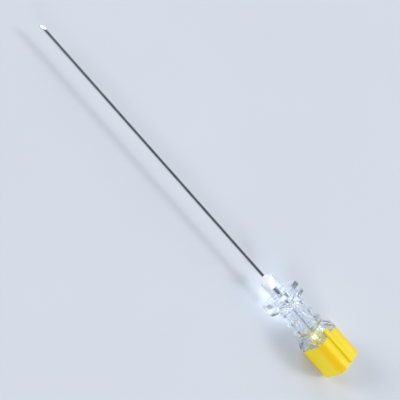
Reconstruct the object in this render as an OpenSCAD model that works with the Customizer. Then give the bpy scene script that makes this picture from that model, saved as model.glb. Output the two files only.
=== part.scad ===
// Spinal needle with a keyed stylet.
// A steel cannula is bonded into a clear hub with finger flanges and a finned grip.
// A solid wire fills the cannula and is carried by a square cap that plugs the hub's socket.
// Millimetres. The needle axis is X, with the point at the low end and the cap at the high end.
// The origin is on the axis, where the adhesive starts on the cannula. +Z is the side that the
// bevel, the notch and the key face.

/* [Cannula] */
// Outer diameter of the steel tube
cannula_od = 0.908; // [0.75:0.001:1.2]
// Inner diameter of the steel tube
cannula_id = 0.603; // [0.45:0.001:0.7]
// Length of tube from the adhesive to the point
exposed_l = 88.9; // [38:0.1:150]
// Length of tube bonded inside the hub
bonded_l = 9.6; // [6:0.1:10]
// Length of the main bevel along the axis
bevel_l = 2.3; // [1.2:0.1:5]
// Length of the two side facets that sharpen the point
lancet_l = 1.15; // [0.6:0.05:1.6]
// Roll of each side facet about the axis, in degrees
lancet_roll = 34; // [15:1:45]
// How far the side facets shorten the point that the main bevel leaves
lancet_lead = 0.08; // [0.02:0.01:0.2]
// Number of barbs on the bonded length
barb_count = 6; // [3:1:10]
// Depth of each barb
barb_depth = 0.06; // [0.02:0.01:0.1]

/* [Stylet] */
// Radial gap between the wire and the cannula's bore
stylet_gap = 0.026; // [0.012:0.001:0.06]
// Thickness of plastic behind the wire's end in the cap
wire_cover = 2.0; // [0.8:0.1:6]

/* [Adhesive] */
// Length of the bead in front of the hub's nose
bead_l = 1.1; // [0.6:0.05:2.5]
// Width of the nose's rim that the bead leaves bare
bare_rim_w = 0.06; // [0.02:0.01:0.5]
// Radius of the well in the nose at its mouth
well_mouth_r = 1.24; // [0.8:0.02:1.5]
// Depth of the well
well_l = 2.75; // [1.5:0.05:3.2]
// Thickness of the film round the cannula behind the well
film_t = 0.06; // [0.04:0.01:0.2]
// Length of that film
film_l = 0.85; // [0.3:0.05:1.5]

/* [Nose and flanges] */
// Radius of the nose at its front
nose_front_r = 2.0; // [1.6:0.05:2.4]
// Radius of the nose where it meets the front flange
nose_back_r = 2.12; // [1.8:0.05:2.6]
// Length of the nose
nose_l = 4.85; // [4.2:0.05:8]
// Width across the flats of the front flange
flange_across = 9.4; // [8:0.1:14]
// Radius of the front flange's rounded corners
flange_corner_r = 2.3; // [1:0.05:4]
// Thickness of the front flange
flange_t = 1.32; // [0.8:0.02:2.5]
// Gap between the two flanges
groove_l = 1.58; // [1:0.02:3]
// Reach of the webs between the flanges
groove_reach = 4.16; // [3:0.02:4.6]
// Width across the flats of the rear flange
guard_across = 9.2; // [8:0.1:14]
// Radius of the rear flange's rounded corners
guard_corner_r = 2.3; // [1:0.05:4]
// Thickness of the rear flange at its edge
guard_edge_t = 0.53; // [0.3:0.01:1.5]
// Length of the fillet behind the rear flange
guard_fillet_l = 1.18; // [0.6:0.02:2]

/* [Grip] */
// Length of the grip between the rear flange and the shoulder
grip_l = 7.95; // [6:0.05:14]
// Radius of the grip's core at its front
core_front_r = 2.64; // [2:0.02:3]
// Radius of the grip's core at its back
core_back_r = 2.8; // [2.4:0.02:3.2]
// Thickness of each of the four fins
fin_t = 0.55; // [0.3:0.01:1.2]
// Reach of the fins from the axis at the front of the grip
fin_front_reach = 3.5; // [3.2:0.02:4.4]
// Reach of the fins from the axis at the back of the grip
fin_back_reach = 3.76; // [3.3:0.02:4.6]
// Number of ribs on each side of the grip
rib_count = 3; // [1:1:3]
// Distance from the start of the grip to the first rib's middle
rib_start = 1.0; // [0.6:0.05:1.8]
// Distance from one rib to the next
rib_pitch = 2.8; // [1.6:0.05:3]
// Width of each rib along the axis
rib_w = 1.1; // [0.4:0.02:1.4]
// Reach of the first rib from the axis
rib_front_reach = 4.08; // [3.4:0.02:4.6]
// Reach of the last rib from the axis
rib_back_reach = 4.34; // [3.4:0.02:4.8]

/* [Collar and socket] */
// Width across the flats of the collar and of the cap's front
collar_across = 9.05; // [8.4:0.05:12]
// Radius of the rounded corners of the collar and of the cap
collar_corner_r = 2.0; // [1.3:0.05:3]
// Thickness of the collar's wall round its pocket
skirt_wall = 0.8; // [0.5:0.05:1]
// Length of the shoulder that widens to the collar
shoulder_l = 2.4; // [1.4:0.05:4]
// Radius of the shoulder where it leaves the grip
shoulder_front_r = 4.05; // [3.4:0.05:4.5]
// Length of the collar
collar_l = 0.95; // [0.6:0.05:4]
// Length of the socket's neck behind the collar
neck_l = 4.95; // [3:0.05:7]
// Width of each locking lug
lug_w = 2.4; // [1.2:0.1:3]
// Thickness of each locking lug along the axis
lug_t = 0.9; // [0.5:0.05:1.5]
// Diameter of the conical socket at its mouth
mouth_d = 4.3; // [4:0.01:4.6]
// Depth of the conical socket
socket_l = 9.0; // [7.5:0.1:10]
// Taper of the socket: diameter lost for each unit of depth
socket_taper = 0.06; // [0.04:0.005:0.08]
// Radius of the flow chamber in front of the socket
chamber_r = 1.3; // [0.8:0.05:1.8]
// Length of the funnel between the cannula's end and the chamber
funnel_l = 1.2; // [0.4:0.05:2]
// Length of the funnel between the chamber and the socket
throat_l = 2.3; // [0.5:0.05:4]
// Diameter of the round relief in the collar's near corner
relief_d = 0.7; // [0.3:0.05:1.2]

/* [Cap] */
// Length of the cap
cap_l = 9.15; // [7.8:0.05:14]
// Thickness of the cap's walls
cap_wall = 1.0; // [0.6:0.05:1.2]
// Thickness of the cap's closed back
cap_back_t = 1.3; // [0.8:0.05:2]
// Draft of each side of the cap over its length
cap_draft = 0.1; // [0.02:0.01:0.3]
// Size of the bevel round the cap's back edge
cap_edge = 0.3; // [0.1:0.02:0.6]
// Width of the key rib on the cap
key_w = 1.2; // [0.6:0.05:2]
// Height of the key rib above the cap's face
key_h = 0.45; // [0.2:0.05:1]
// Length of the key's tab in front of the cap
tab_l = 1.8; // [0.8:0.05:1.85]
// Depth of the tab below the cap's face
tab_depth = 0.8; // [0.4:0.05:1]
// Gap between the plug's tip and the floor of the socket
plug_short = 1.9; // [0.5:0.1:4]
// Length of the bevel on the plug's tip
plug_lead_l = 0.4; // [0.2:0.05:0.8]

/* [Clearances] */
// Gap between the collar and the cap when the cap is seated
seat_gap = 0.06; // [0.02:0.01:0.2]
// Radial gap between the plug and the socket
plug_gap = 0.03; // [0.015:0.005:0.08]
// Gap round the key's tab in its notch
key_gap = 0.15; // [0.05:0.01:0.4]
// Gap between the socket's neck and the cap's flat inner walls
neck_gap = 0.6; // [0.1:0.01:0.9]
// Gap between the locking lugs and the cap's inner corners
lug_gap = 0.7; // [0.2:0.05:1]
// Radial gap between the cannula and its passage in the hub
bond_gap = 0.03; // [0.01:0.005:0.06]
// Radial gap between the wire and its hole in the plug
wire_gap = 0.01; // [0.005:0.005:0.03]

/* [Hidden] */
$fn = 64;

// How far a cut runs past the face that it opens
overrun = 0.5;
// Thickness of the end sections that the cap's drafted block is drawn between
section_t = 0.01;
// Facets to a full turn in the rounded corners of the cap's drafted block
block_facets = 32;
// Steps in the fillet behind the rear flange, in degrees of its quarter turn
fillet_step = 15;
// The shoulder's outline: share of its length, and share of its rise to the collar
shoulder_shares = [[0, 0], [0.16, 0.28], [0.37, 0.52], [0.60, 0.77], [0.82, 0.92], [1, 1]];
// The bead's outline: share of its length, and share of its rise to the nose's rim
bead_shares = [[0, 0], [0.36, 0.54], [0.80, 0.93], [1, 1]];

// Radii
cannula_r = cannula_od / 2;
bore_r = cannula_id / 2;
wire_r = bore_r - stylet_gap;
passage_r = cannula_r + bond_gap;
bead_r = nose_front_r - bare_rim_w;
film_r = cannula_r + film_t;
flange_reach = corner_reach(flange_across, flange_corner_r);
guard_reach = corner_reach(guard_across, guard_corner_r);
collar_reach = corner_reach(collar_across, collar_corner_r);
neck_r = collar_across / 2 - cap_wall - neck_gap;
lug_reach = collar_reach - cap_wall - lug_gap;
mouth_r = mouth_d / 2;

// Places along the axis, from the origin to the back
tip_x = -exposed_l;
nose_x = bead_l;
well_end_x = nose_x + well_l;
film_end_x = well_end_x + film_l;
flange_x = nose_x + nose_l;
groove_x = flange_x + flange_t;
guard_x = groove_x + groove_l;
guard_back_x = guard_x + guard_edge_t;
grip_x = guard_back_x + guard_fillet_l;
shoulder_x = grip_x + grip_l;
collar_x = shoulder_x + shoulder_l;
hub_back_x = collar_x + collar_l;
mouth_x = hub_back_x + neck_l;
socket_floor_x = mouth_x - socket_l;
cap_x = hub_back_x + seat_gap;
cap_back_x = cap_x + cap_l;
cap_floor_x = cap_back_x - cap_back_t;
plug_tip_x = socket_floor_x + plug_short;
wire_end_x = cap_back_x - wire_cover;
notch_x = cap_x - tab_l - key_gap;

// The cap's outside as [place along the axis, inset of its section]
cap_sections = [
    [cap_x, 0],
    [cap_back_x - cap_edge, cap_draft],
    [cap_back_x - section_t, cap_draft + cap_edge]
];

// Angles of the grinds at the point
bevel_a = atan(cannula_od / bevel_l);
lancet_a = atan(cannula_r * (cos(lancet_roll) + sin(lancet_roll)) / lancet_l);

// How far a rounded square's corner reaches from its middle
function corner_reach(across, corner_r) = (across / 2 - corner_r) * sqrt(2) + corner_r;

// Radius of the conical socket at a place along the axis
function socket_r(x) = mouth_r - (mouth_x - x) * socket_taper / 2;

// Lays a shape that was drawn up Z along X
module along_x() rotate([0, 90, 0]) children();

// A turned form: points are [radius, place along the axis]
module turned(points) along_x() rotate_extrude() polygon(points);

// A square with rounded corners
module rounded_square(across, corner_r) {
    inner = across - 2 * corner_r;
    square([across, inner], center = true);
    square([inner, across], center = true);
    for (x = [-inner / 2, inner / 2], y = [-inner / 2, inner / 2])
        translate([x, y]) circle(corner_r);
}

// A bar of that section from one place along the axis to another
module square_bar(across, corner_r, from_x, to_x) {
    translate([from_x, 0, 0]) along_x()
        linear_extrude(to_x - from_x) rounded_square(across, corner_r);
}

// What one grind takes off: all that lies above a plane that rises from a place on the bottom line
module grind(from_x, angle, roll) {
    rotate([roll, 0, 0])
        translate([from_x, 0, -cannula_r * cos(roll)])
            rotate([0, -angle, 0])
                translate([-bevel_l, -cannula_od, 0])
                    cube([3 * bevel_l, 2 * cannula_od, 2 * cannula_od]);
}

// The main bevel and the two side facets, shared by the tube and the wire
module point_grinds() {
    grind(tip_x - lancet_lead, bevel_a, 0);
    for (side = [-1, 1]) grind(tip_x, lancet_a, side * lancet_roll);
}

// The bonded length: barbs that narrow towards the back
module bonded_barbs() {
    barb_l = bonded_l / barb_count;
    for (i = [0 : barb_count - 1])
        translate([i * barb_l, 0, 0]) along_x()
            cylinder(h = barb_l, r1 = cannula_r, r2 = cannula_r - barb_depth);
}

module cannula() {
    color("silver") difference() {
        union() {
            translate([tip_x - overrun, 0, 0]) along_x()
                cylinder(h = exposed_l + overrun, r = cannula_r);
            bonded_barbs();
        }
        translate([tip_x - 2 * overrun, 0, 0]) along_x()
            cylinder(h = exposed_l + bonded_l + 3 * overrun, r = bore_r);
        point_grinds();
    }
}

module hub_adhesive() {
    color("white") difference() {
        turned(concat(
            [[0, 0]],
            [for (s = bead_shares) [cannula_r + (bead_r - cannula_r) * s[1], bead_l * s[0]]],
            [
                [well_mouth_r, nose_x], [film_r, well_end_x],
                [film_r, film_end_x], [0, film_end_x]
            ]
        ));
        translate([-overrun, 0, 0]) along_x()
            cylinder(h = film_end_x + 2 * overrun, r = cannula_r);
    }
}

// The hub's round forms: nose, grip core and socket neck in one turned outline
module hub_core() {
    turned([
        [0, nose_x], [nose_front_r, nose_x], [nose_back_r, flange_x],
        [core_front_r, groove_x], [core_front_r, grip_x], [core_back_r, shoulder_x],
        [neck_r, collar_x], [neck_r, mouth_x], [0, mouth_x]
    ]);
}

// The rear flange: a flat plate whose back runs into the grip in a hollow fillet
module guard() {
    intersection() {
        square_bar(guard_across, guard_corner_r, guard_x, grip_x);
        turned(concat(
            [[0, guard_x], [guard_reach, guard_x]],
            [for (t = [0 : fillet_step : 90]) [
                guard_reach - (guard_reach - fin_front_reach) * sin(t),
                guard_back_x + guard_fillet_l * (1 - cos(t))
            ]],
            [[0, grip_x]]
        ));
    }
}

// Four webs on the diagonals, between two places and two reaches
module webs(from_x, to_x, from_reach, to_reach) {
    for (a = [45 : 90 : 315])
        rotate([a, 0, 0]) rotate([90, 0, 0])
            linear_extrude(fin_t, center = true)
                polygon([[from_x, 0], [from_x, from_reach], [to_x, to_reach], [to_x, 0]]);
}

// A rib across one side of the grip, from fin to fin, with a rounded outer edge
module rib(at_x, reach) {
    half = reach / sqrt(2);
    intersection() {
        translate([at_x - rib_w / 2, 0, 0]) rotate([90, 0, 90])
            linear_extrude(rib_w) polygon([[0, 0], [half, half], [half, -half]]);
        translate([at_x, 0, -half]) {
            translate([0, half - rib_w / 2, 0]) cylinder(h = 2 * half, d = rib_w);
            translate([-rib_w / 2, 0, 0]) cube([rib_w, half - rib_w / 2, 2 * half]);
        }
    }
}

module grip_ribs() {
    growth = (rib_back_reach - rib_front_reach) / max(1, rib_count - 1);
    for (i = [0 : rib_count - 1], side = [0, 180])
        rotate([side, 0, 0]) rib(grip_x + rib_start + i * rib_pitch, rib_front_reach + i * growth);
}

// The cap's section rounded down to the grip, drawn in by an inset on its sides and its front
module shoulder_form(inset, back_x) {
    rise = collar_reach - shoulder_front_r;
    front_x = shoulder_x + inset;
    intersection() {
        square_bar(collar_across - 2 * inset, collar_corner_r - inset, front_x, back_x);
        turned(concat(
            [[0, front_x]],
            [for (s = shoulder_shares) [
                shoulder_front_r - inset + rise * s[1], front_x + shoulder_l * s[0]
            ]],
            [[collar_reach - inset, back_x], [0, back_x]]
        ));
    }
}

// The pocket in the collar, open at the back, round the core and between the four webs
module collar_pocket() {
    difference() {
        shoulder_form(skirt_wall, hub_back_x + overrun);
        hub_core();
        webs(shoulder_x, hub_back_x + overrun, collar_reach, collar_reach);
    }
}

// Two lugs on the neck's rim, on the cap's open diagonals
module lugs() {
    intersection() {
        translate([mouth_x - lug_t, 0, 0]) along_x() cylinder(h = lug_t, r = lug_reach);
        rotate([45, 0, 0])
            translate([mouth_x - lug_t, -lug_w / 2, -lug_reach])
                cube([lug_t, lug_w, 2 * lug_reach]);
    }
}

// The hub's whole passage: adhesive well, cannula hole, funnel, chamber and conical socket
module hub_passage() {
    turned([
        [0, nose_x - overrun], [well_mouth_r, nose_x - overrun], [well_mouth_r, nose_x],
        [film_r, well_end_x], [film_r, film_end_x], [passage_r, film_end_x], [passage_r, bonded_l],
        [chamber_r, bonded_l + funnel_l], [chamber_r, socket_floor_x - throat_l],
        [socket_r(socket_floor_x), socket_floor_x],
        [socket_r(mouth_x + overrun), mouth_x + overrun], [0, mouth_x + overrun]
    ]);
}

// The notch in the collar's top face that takes the key's tab
module key_notch() {
    w = key_w + 2 * key_gap;
    translate([notch_x, -w / 2, collar_across / 2 - tab_depth - key_gap])
        cube([hub_back_x - notch_x + overrun, w, tab_depth + key_gap + overrun]);
}

// A round relief in the collar's back edge, on its near upper corner
module corner_relief() {
    rotate([45, 0, 0])
        translate([hub_back_x, 0, collar_reach - relief_d])
            cylinder(h = relief_d + overrun, d = relief_d);
}

module needle_hub() {
    color("lightblue", 0.5) difference() {
        union() {
            hub_core();
            square_bar(flange_across, flange_corner_r, flange_x, groove_x);
            webs(groove_x - flange_t / 2, guard_x + guard_edge_t / 2, groove_reach, groove_reach);
            guard();
            webs(grip_x - guard_fillet_l / 2, shoulder_x + shoulder_l / 2,
                fin_front_reach, fin_back_reach);
            grip_ribs();
            shoulder_form(0, hub_back_x);
            lugs();
        }
        collar_pocket();
        hub_passage();
        key_notch();
        corner_relief();
    }
}

module stylet_wire() {
    color("gainsboro") difference() {
        translate([tip_x - overrun, 0, 0]) along_x()
            cylinder(h = wire_end_x - tip_x + overrun, r = wire_r);
        point_grinds();
    }
}

// The cap's outside: drafted sides and a bevelled back edge
module cap_block() {
    hull()
        for (s = cap_sections)
            square_bar(collar_across - 2 * s[1], collar_corner_r - s[1],
                s[0], s[0] + section_t, $fn = block_facets);
}

// The key rib along the cap's top face and the tab that runs on in front of it
module cap_key() {
    top_z = collar_across / 2;
    translate([cap_x - tab_l, -key_w / 2, top_z - tab_depth])
        cube([tab_l + cap_wall, key_w, tab_depth + key_h]);
    translate([cap_x, -key_w / 2, top_z - cap_wall / 2])
        cube([cap_l - cap_edge, key_w, cap_wall / 2 + key_h]);
}

// The space in the cap that the hub's neck fills
module cap_cavity() {
    square_bar(collar_across - 2 * cap_wall, collar_corner_r - cap_wall, cap_x - overrun, cap_floor_x);
}

// The plug on the axis that fills the hub's socket
module cap_plug() {
    turned([
        [0, plug_tip_x],
        [socket_r(plug_tip_x) - plug_gap - plug_lead_l / 2, plug_tip_x],
        [socket_r(plug_tip_x + plug_lead_l) - plug_gap, plug_tip_x + plug_lead_l],
        [socket_r(cap_floor_x) - plug_gap, cap_floor_x],
        [socket_r(cap_floor_x) - plug_gap, cap_floor_x + cap_back_t / 2],
        [0, cap_floor_x + cap_back_t / 2]
    ]);
}

module stylet_cap() {
    color("gold") difference() {
        union() {
            difference() {
                union() {
                    cap_block();
                    cap_key();
                }
                cap_cavity();
            }
            cap_plug();
        }
        translate([plug_tip_x - overrun, 0, 0]) along_x()
            cylinder(h = wire_end_x - plug_tip_x + overrun, r = wire_r + wire_gap);
    }
}

cannula();
hub_adhesive();
needle_hub();
stylet_wire();
stylet_cap();
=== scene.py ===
import math

import bmesh
import bpy
from mathutils import Matrix, Vector, noise


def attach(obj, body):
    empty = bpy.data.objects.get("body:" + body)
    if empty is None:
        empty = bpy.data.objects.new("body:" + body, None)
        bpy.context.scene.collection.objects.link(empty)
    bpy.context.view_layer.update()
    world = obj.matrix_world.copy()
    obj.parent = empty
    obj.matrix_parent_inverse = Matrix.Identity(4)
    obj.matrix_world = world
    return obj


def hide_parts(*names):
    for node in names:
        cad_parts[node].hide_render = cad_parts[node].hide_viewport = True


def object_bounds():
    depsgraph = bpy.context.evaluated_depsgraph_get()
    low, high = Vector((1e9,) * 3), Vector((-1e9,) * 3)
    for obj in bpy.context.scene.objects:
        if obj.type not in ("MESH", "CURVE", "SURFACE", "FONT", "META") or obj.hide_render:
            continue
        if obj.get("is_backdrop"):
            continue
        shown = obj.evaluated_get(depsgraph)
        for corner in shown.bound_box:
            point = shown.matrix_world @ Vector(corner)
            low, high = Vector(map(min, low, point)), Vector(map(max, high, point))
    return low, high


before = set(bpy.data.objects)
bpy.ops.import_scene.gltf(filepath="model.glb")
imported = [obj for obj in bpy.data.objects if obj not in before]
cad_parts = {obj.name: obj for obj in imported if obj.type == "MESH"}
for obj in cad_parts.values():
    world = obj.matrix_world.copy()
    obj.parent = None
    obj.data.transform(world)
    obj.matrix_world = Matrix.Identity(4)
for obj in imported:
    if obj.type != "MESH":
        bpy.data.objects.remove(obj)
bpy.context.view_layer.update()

# Sizes here are in metres, as in the frame. A length written in millimetres is multiplied by MM.
MM = 0.001

# The photograph's camera: where its axis meets the needle, and how it stands to it
FRAME_PX = 400
SENSOR_W = 36.0
FOCAL_PX = 615
CAMERA_DISTANCE = 162 * MM
AIM_X = -26.2 * MM
AIM_ABOVE_AXIS = 0.8 * MM
CAMERA_ELEVATION = math.radians(54.5)
# How far the needle runs right and down across the picture, from the point to the cap
NEEDLE_IN_PICTURE = (0.6634, 0.7483)
CAMERA_REACH = (0.01, 20)


def photograph_camera():
    """A camera square to the needle, rolled so that the point lies at the upper left."""
    cos_e, sin_e = math.cos(CAMERA_ELEVATION), math.sin(CAMERA_ELEVATION)
    level_right = Vector((1, 0, 0))
    level_up = Vector((0, sin_e, cos_e))
    back = Vector((0, -cos_e, sin_e))
    along, down = NEEDLE_IN_PICTURE
    right = along * level_right + down * level_up
    up = along * level_up - down * level_right
    aim = Vector((AIM_X, 0, 0)) + AIM_ABOVE_AXIS * level_up
    data = bpy.data.cameras.new("photograph_camera")
    data.sensor_width = SENSOR_W
    data.lens = FOCAL_PX / FRAME_PX * SENSOR_W
    data.clip_start, data.clip_end = CAMERA_REACH
    camera = bpy.data.objects.new("photograph_camera", data)
    turn = Matrix((right, up, back)).transposed().to_4x4()
    camera.matrix_world = Matrix.Translation(aim + back * CAMERA_DISTANCE) @ turn
    bpy.context.scene.collection.objects.link(camera)
    bpy.context.scene.camera = camera


class Signal:
    """A shader socket that takes part in sums: each operator adds a Math node."""

    def __init__(self, tree, socket):
        self.tree, self.socket = tree, socket

    def maths(self, operation, first, second):
        return self.tree.node("ShaderNodeMath", {"operation": operation}, {0: first, 1: second})

    def __add__(self, other):
        return self.maths("ADD", self, other)

    def __sub__(self, other):
        return self.maths("SUBTRACT", self, other)

    def __rsub__(self, other):
        return self.maths("SUBTRACT", other, self)

    def __mul__(self, other):
        return self.maths("MULTIPLY", self, other)

    def __pow__(self, other):
        return self.maths("POWER", self, other)

    __radd__ = __add__
    __rmul__ = __mul__


class Nodes:
    """A node tree under construction."""

    def __init__(self, tree):
        self.tree = tree
        self.tree.nodes.clear()

    def feed(self, node, socket, value):
        """Sets a socket to a value, or links it to a signal."""
        if isinstance(value, Signal):
            self.tree.links.new(value.socket, node.inputs[socket])
        else:
            node.inputs[socket].default_value = value

    def node(self, kind, settings=None, sockets=None, out=0):
        """Adds a node: its settings first, then its sockets, and gives one output."""
        node = self.tree.nodes.new(kind)
        for name, value in (settings or {}).items():
            setattr(node, name, value)
        for socket, value in (sockets or {}).items():
            self.feed(node, socket, value)
        return Signal(self, node.outputs[out]) if len(node.outputs) else None

    def apart(self, vector, axis):
        """One part of a vector."""
        return self.node("ShaderNodeSeparateXYZ", {}, {0: vector}, out=axis)

    def blend(self, share, first, second):
        """A colour from first to second by share."""
        sockets = {0: share, 6: first, 7: second}
        return self.node("ShaderNodeMix", {"data_type": "RGBA"}, sockets, out=2)

    def ramp(self, value, low, high):
        """A smooth rise from 0 to 1 as value runs from low to high."""
        sockets = {"Value": value, "From Min": low, "From Max": high}
        settings = {"interpolation_type": "SMOOTHSTEP"}
        return self.node("ShaderNodeMapRange", settings, sockets)


# Rays that feel for the edges near each point that is rounded over
EDGE_SAMPLES = 6


class Finish(Nodes):
    """A material under construction, round one Principled shader."""

    def __init__(self, name, **constants):
        self.material = bpy.data.materials.new(name)
        self.material.use_nodes = True
        super().__init__(self.material.node_tree)
        self.output = self.tree.nodes.new("ShaderNodeOutputMaterial")
        self.shader = self.tree.nodes.new("ShaderNodeBsdfPrincipled")
        self.tree.links.new(self.shader.outputs[0], self.output.inputs["Surface"])
        self.surface(**constants)

    def surface(self, **sockets):
        """Feeds the shader's sockets. An underscore stands for a space in a socket's name."""
        for socket, value in sockets.items():
            self.feed(self.shader, socket.replace("_", " "), value)
        return self.material

    def place(self, stretch=(1, 1, 1)):
        """The surface point in millimetres, stretched along each axis."""
        point = self.node("ShaderNodeTexCoord", out="Object")
        scale = [s / MM for s in stretch]
        return self.node("ShaderNodeVectorMath", {"operation": "MULTIPLY"}, {0: point, 1: scale})

    def magnitude(self, value):
        """A value without its sign."""
        return self.node("ShaderNodeMath", {"operation": "ABSOLUTE"}, {0: value})

    def noise(self, scale, stretch=(1, 1, 1), detail=3, roughness=0.5):
        """Noise with that many features to a millimetre."""
        sockets = {
            "Vector": self.place(stretch),
            "Scale": scale,
            "Detail": detail,
            "Roughness": roughness,
        }
        return self.node("ShaderNodeTexNoise", {}, sockets, out="Fac")

    def between(self, share, low, high):
        """A value that runs from low to high as share runs from 0 to 1."""
        return share * (high - low) + low

    def bump(self, height, depth_mm, over=None):
        """Relief of that depth in millimetres, on top of the normal that is given."""
        sockets = {"Height": height, "Distance": depth_mm * MM}
        if over is not None:
            sockets["Normal"] = over
        return self.node("ShaderNodeBump", {}, sockets)

    def rounded_edges(self, radius_mm):
        """The surface's normal, turned over each sharp edge as if it were rounded."""
        settings = {"samples": EDGE_SAMPLES}
        return self.node("ShaderNodeBevel", settings, {"Radius": radius_mm * MM})

    def let_lamps_through(self, tint):
        """Clear plastic lights what is in and under it: rays to the lamps pass, tinted."""
        to_lamp = self.node("ShaderNodeLightPath", out="Is Shadow Ray")
        open_way = self.node("ShaderNodeBsdfTransparent", {}, {"Color": tint})
        body = Signal(self, self.shader.outputs[0])
        both = self.node("ShaderNodeMixShader", {}, {0: to_lamp, 1: body, 2: open_way})
        self.tree.links.new(both.socket, self.output.inputs["Surface"])


def colour(red, green, blue):
    """An sRGB colour from 0 to 255, as the linear colour that a socket takes."""

    def linear(c):
        c /= 255
        return c / 12.92 if c <= 0.04045 else ((c + 0.055) / 1.055) ** 2.4

    return (linear(red), linear(green), linear(blue), 1)


# Places on the needle in millimetres, from the source
# Where the cannula turns matt and takes its painted shade of dark grey, from the first place to
# the second
BLAST_AND_SHADE_FROM_X = 0.5
BLAST_AND_SHADE_FULL_X = 1.1
GRIP_FRONT = (10.3, 10.8)
GRIP_BACK = (18.2, 18.7)
GRIP_REACH = (3.0, 3.4)
# The product of the two distances from the cap's middle planes, from a flat to a corner, over
# which the rounded corners take their painted shade
CAP_CORNER_SHADE = (9.5, 15)
MOULD_EDGE_R = 0.2


def drawn_steel(name, bright, dull, roughness, blasted_and_shaded=False):
    """Stainless steel drawn through a die: fine lines run along the needle. The length that is
    given a blast to hold the adhesive is matt, and is coloured dark there as painted shade."""
    f = Finish(name, Metallic=1.0)
    lines = f.noise(9, stretch=(0.05, 1, 1), detail=4, roughness=0.6)
    stain = f.noise(0.35, detail=3)
    steel = f.blend(stain, dull, bright)
    shine = f.between(lines * 0.6 + stain * 0.4, roughness * 0.7, roughness * 1.4)
    if blasted_and_shaded:
        grain = f.noise(22, detail=2)
        # Painted shade: the cannula is coloured dark grey where it runs inside the hub; the same
        # mask makes it matt
        matt = f.ramp(f.apart(f.place(), "X"), BLAST_AND_SHADE_FROM_X, BLAST_AND_SHADE_FULL_X)
        steel = f.blend(matt, steel, f.blend(grain, colour(40, 41, 44), colour(62, 63, 67)))
        shine = shine + matt * 0.25
    return f.surface(Base_Color=steel, Roughness=shine, Normal=f.bump(lines, 0.004))


def clear_plastic():
    """Clear moulded polycarbonate with faint flow waves, matt where the fingers hold it."""
    f = Finish("clear_plastic", Transmission_Weight=0.95, IOR=1.585)
    flow = f.noise(0.5, stretch=(0.4, 1, 1), detail=2)
    haze = f.noise(2.5, detail=4)
    x, y, z = (f.apart(f.place(), axis) for axis in "XYZ")
    reach = (y * y + z * z) ** 0.5
    on_grip = f.ramp(x, *GRIP_FRONT) * (1 - f.ramp(x, *GRIP_BACK)) * f.ramp(reach, *GRIP_REACH)
    f.let_lamps_through(colour(246, 248, 251))
    return f.surface(
        Base_Color=f.blend(flow, colour(240, 245, 253), colour(248, 251, 255)),
        Roughness=f.between(haze, 0.0, 0.05) + on_grip * 0.38,
        Normal=f.bump(flow, 0.015, over=f.rounded_edges(MOULD_EDGE_R)),
    )


def yellow_plastic():
    """Yellow moulded polypropylene, with painted shade that colours its rounded corners deeper and
    more orange: a faint grain, with satin patches where it was handled."""
    f = Finish("yellow_plastic", IOR=1.49, Subsurface_Weight=0.08, Subsurface_Scale=0.001)
    grain = f.noise(14, detail=3)
    flow = f.noise(0.45, stretch=(0.35, 1, 1), detail=3)
    y, z = (f.apart(f.place(), axis) for axis in "YZ")
    # Painted shade: a mask over the rounded corners, which are coloured deeper and more orange
    corner = f.ramp(f.magnitude(y * z), *CAP_CORNER_SHADE)
    flat_colour = f.blend(flow, colour(244, 216, 0), colour(252, 227, 8))
    edges = f.rounded_edges(MOULD_EDGE_R)
    return f.surface(
        # The corners take the painted shade's deeper orange
        Base_Color=f.blend(corner, flat_colour, colour(252, 206, 0)),
        Roughness=f.between(flow * 0.6 + grain * 0.4, 0.26, 0.46),
        Normal=f.bump(grain, 0.006, over=f.bump(flow, 0.02, over=edges)),
    )


def white_adhesive():
    """White epoxy, glossy where it wetted out and a little pitted."""
    f = Finish("white_adhesive")
    flow = f.noise(1.2, detail=4)
    pits = f.noise(7, detail=2)
    return f.surface(
        Base_Color=f.blend(flow, colour(240, 234, 228), colour(253, 248, 243)),
        Roughness=f.between(flow, 0.3, 0.55),
        Normal=f.bump(pits, 0.01, over=f.bump(flow, 0.04)),
    )


def floor_finish():
    """A plain pale studio floor."""
    f = Finish("studio_floor", Roughness=0.85, Specular_IOR_Level=0.2)
    soft = f.noise(0.02, detail=2)
    return f.surface(Base_Color=f.blend(soft, colour(209, 215, 223), colour(215, 220, 228)))


# The studio: how far its dark side reaches round the camera's direction, and its sky's colours
DARK_CORE = math.cos(math.radians(40))
DARK_EDGE = math.cos(math.radians(58))
SKY_LOW = (0.72, 0.765, 0.845, 1)
SKY_HIGH = (0.80, 0.83, 0.88, 1)
SKY_HIGH_FROM = 0.35
DARK_ON_STEEL = (0.05, 0.055, 0.07, 1)
DARK_THROUGH_PLASTIC = (0.31, 0.34, 0.39, 1)
SKY_STRENGTH = 0.95

FLOOR_R = 6.0
FLOOR_SIDES = 96
FLOOR_GAP = 0.02 * MM

# Each lamp's name, the way to it, its spread in degrees, its strength and its tint
WARM, COOL = (1, 0.985, 0.96), (0.97, 0.985, 1)
LAMPS = (
    ("key_lamp", (0.62, 0.45, 0.64), 18, 1.14, WARM),
    ("point_lamp", (-0.78, 0.54, 0.31), 19, 0.48, COOL),
    ("left_lamp", (-0.80, -0.5, 0.40), 23, 1.35, COOL),
    ("right_lamp", (0.80, -0.5, 0.40), 18, 1.15, COOL),
)


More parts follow.
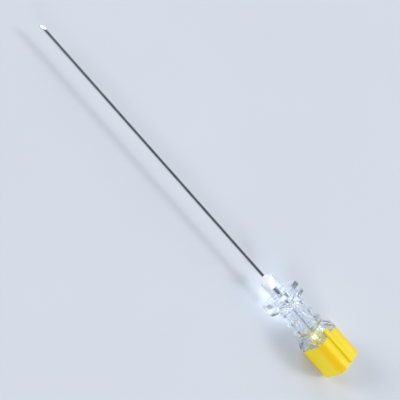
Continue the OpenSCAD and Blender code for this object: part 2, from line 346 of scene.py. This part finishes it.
def studio_floor(height):
    """A round floor just under the part."""
    mesh = bpy.data.meshes.new("studio_floor")
    shape = bmesh.new()
    bmesh.ops.create_circle(shape, cap_ends=True, radius=FLOOR_R, segments=FLOOR_SIDES)
    shape.to_mesh(mesh)
    floor = bpy.data.objects.new("studio_floor", mesh)
    floor.location.z = height
    floor.data.materials.append(floor_finish())
    bpy.context.scene.collection.objects.link(floor)
    floor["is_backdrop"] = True


def studio_sky():
    """A bright sky that is dark on the camera's side, which gives the steel its dark core."""
    world = bpy.data.worlds.new("studio_world")
    bpy.context.scene.world = world
    world.use_nodes = True
    sky = Nodes(world.node_tree)
    toward = sky.node("ShaderNodeTexCoord", out="Generated")
    dark_side = (0, -math.cos(CAMERA_ELEVATION), math.sin(CAMERA_ELEVATION))
    sockets = {0: toward, 1: dark_side}
    facing = sky.node("ShaderNodeVectorMath", {"operation": "DOT_PRODUCT"}, sockets, out="Value")
    dark = sky.ramp(facing, DARK_EDGE, DARK_CORE)
    pale = sky.blend(sky.ramp(sky.apart(toward, "Z"), 0.0, SKY_HIGH_FROM), SKY_LOW, SKY_HIGH)
    through = sky.node("ShaderNodeLightPath", out="Is Transmission Ray")
    light = sky.blend(dark, pale, sky.blend(through, DARK_ON_STEEL, DARK_THROUGH_PLASTIC))
    glow = sky.node("ShaderNodeBackground", {}, {"Color": light, "Strength": SKY_STRENGTH})
    sky.node("ShaderNodeOutputWorld", {}, {"Surface": glow})


def studio_lamps():
    """Soft lamps round the part, far enough away to light the floor evenly."""
    for name, way, spread, strength, tint in LAMPS:
        data = bpy.data.lights.new(name, "SUN")
        data.angle, data.energy, data.color = math.radians(spread), strength, tint
        lamp = bpy.data.objects.new(name, data)
        lamp.rotation_euler = Vector(way).to_track_quat("Z", "Y").to_euler()
        bpy.context.scene.collection.objects.link(lamp)


def dress(node, material):
    """Gives a CAD node its finish."""
    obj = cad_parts[node]
    obj.data.materials.clear()
    obj.data.materials.append(material)


# The adhesive as it set: its outline from the cannula round the well and back, as (place, radius).
# It bites a little into the clear plastic, so that no air shows between the two.
BITE = 0.02
ADHESIVE_TURNS = 96
ADHESIVE_OUTLINE = (
    (-0.30, 0.40), (-0.18, 0.470), (-0.04, 0.62), (0.14, 0.86), (0.36, 1.20), (0.62, 1.52),
    (0.84, 1.76), (1.00, 1.88), (1.08, 1.93), (1.11, 1.94), (1.10 + BITE, 1.90),
    (1.10 + BITE, 1.60), (1.10 + BITE, 1.24 + BITE), (1.60, 1.115 + BITE), (2.20, 0.955 + BITE),
    (2.90, 0.77 + BITE), (3.50, 0.61 + BITE), (3.80, 0.514 + BITE), (3.95, 0.49), (3.97, 0.40),
)
# Where the bead starts to stand free of the nose and the cannula, and over what distance
FREE_FRONT_OF, FREE_OVER = 1.05, 0.3
FREE_OUTSIDE, FREE_RISE = 0.4, 0.2
# Its swells and ripples across its skin, and its creep along the cannula, in millimetres
SWELL, RIPPLE, CREEP = 0.05, 0.02, 0.10


def adhesive_point(place, radius, angle):
    """A point on the adhesive's skin, uneven where it stands free."""
    cos_a, sin_a = math.cos(angle), math.sin(angle)
    in_front = max(0.0, min(1.0, (FREE_FRONT_OF - place) / FREE_OVER))
    free = in_front * min(1.0, (radius - FREE_OUTSIDE) / FREE_RISE)
    spot = Vector((place * 1.3, 1.6 * cos_a, 1.6 * sin_a))
    r = radius + SWELL * free * noise.noise(spot) + RIPPLE * free * noise.noise(spot * 3.1)
    x = place + CREEP * free * noise.noise(spot * 0.9 + Vector((7, 3, 1)))
    return Vector((x, r * cos_a, r * sin_a)) * MM


def set_adhesive(material):
    """The bead and the plug of white epoxy round the cannula."""
    shape = bmesh.new()
    angles = [2 * math.pi * i / ADHESIVE_TURNS for i in range(ADHESIVE_TURNS)]
    rings = [
        [shape.verts.new(adhesive_point(place, radius, a)) for a in angles]
        for place, radius in ADHESIVE_OUTLINE
    ]
    for first, second in zip(rings, rings[1:] + rings[:1]):
        for i in range(ADHESIVE_TURNS):
            j = (i + 1) % ADHESIVE_TURNS
            shape.faces.new((first[i], first[j], second[j], second[i]))
    bmesh.ops.recalc_face_normals(shape, faces=shape.faces)
    for face in shape.faces:
        face.smooth = True
    mesh = bpy.data.meshes.new("adhesive_bead")
    shape.to_mesh(mesh)
    bead = bpy.data.objects.new("adhesive_bead", mesh)
    bead.data.materials.append(material)
    bpy.context.scene.collection.objects.link(bead)
    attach(bead, "needle")
    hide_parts("hub_adhesive")


CANNULA_BRIGHT, CANNULA_DULL = colour(205, 207, 212), colour(150, 152, 158)
STYLET_BRIGHT, STYLET_DULL = colour(210, 211, 214), colour(165, 166, 170)
# The cannula is matt inside the hub and carries painted shade there
cannula_steel = drawn_steel("cannula_steel", CANNULA_BRIGHT, CANNULA_DULL, 0.22, blasted_and_shaded=True)
stylet_steel = drawn_steel("stylet_steel", STYLET_BRIGHT, STYLET_DULL, 0.2)

photograph_camera()
dress("cannula", cannula_steel)
dress("stylet_wire", stylet_steel)
dress("needle_hub", clear_plastic())
dress("stylet_cap", yellow_plastic())
set_adhesive(white_adhesive())
studio_floor(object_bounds()[0].z - FLOOR_GAP)
studio_sky()
studio_lamps()

bpy.context.scene.view_settings.view_transform = "Standard"
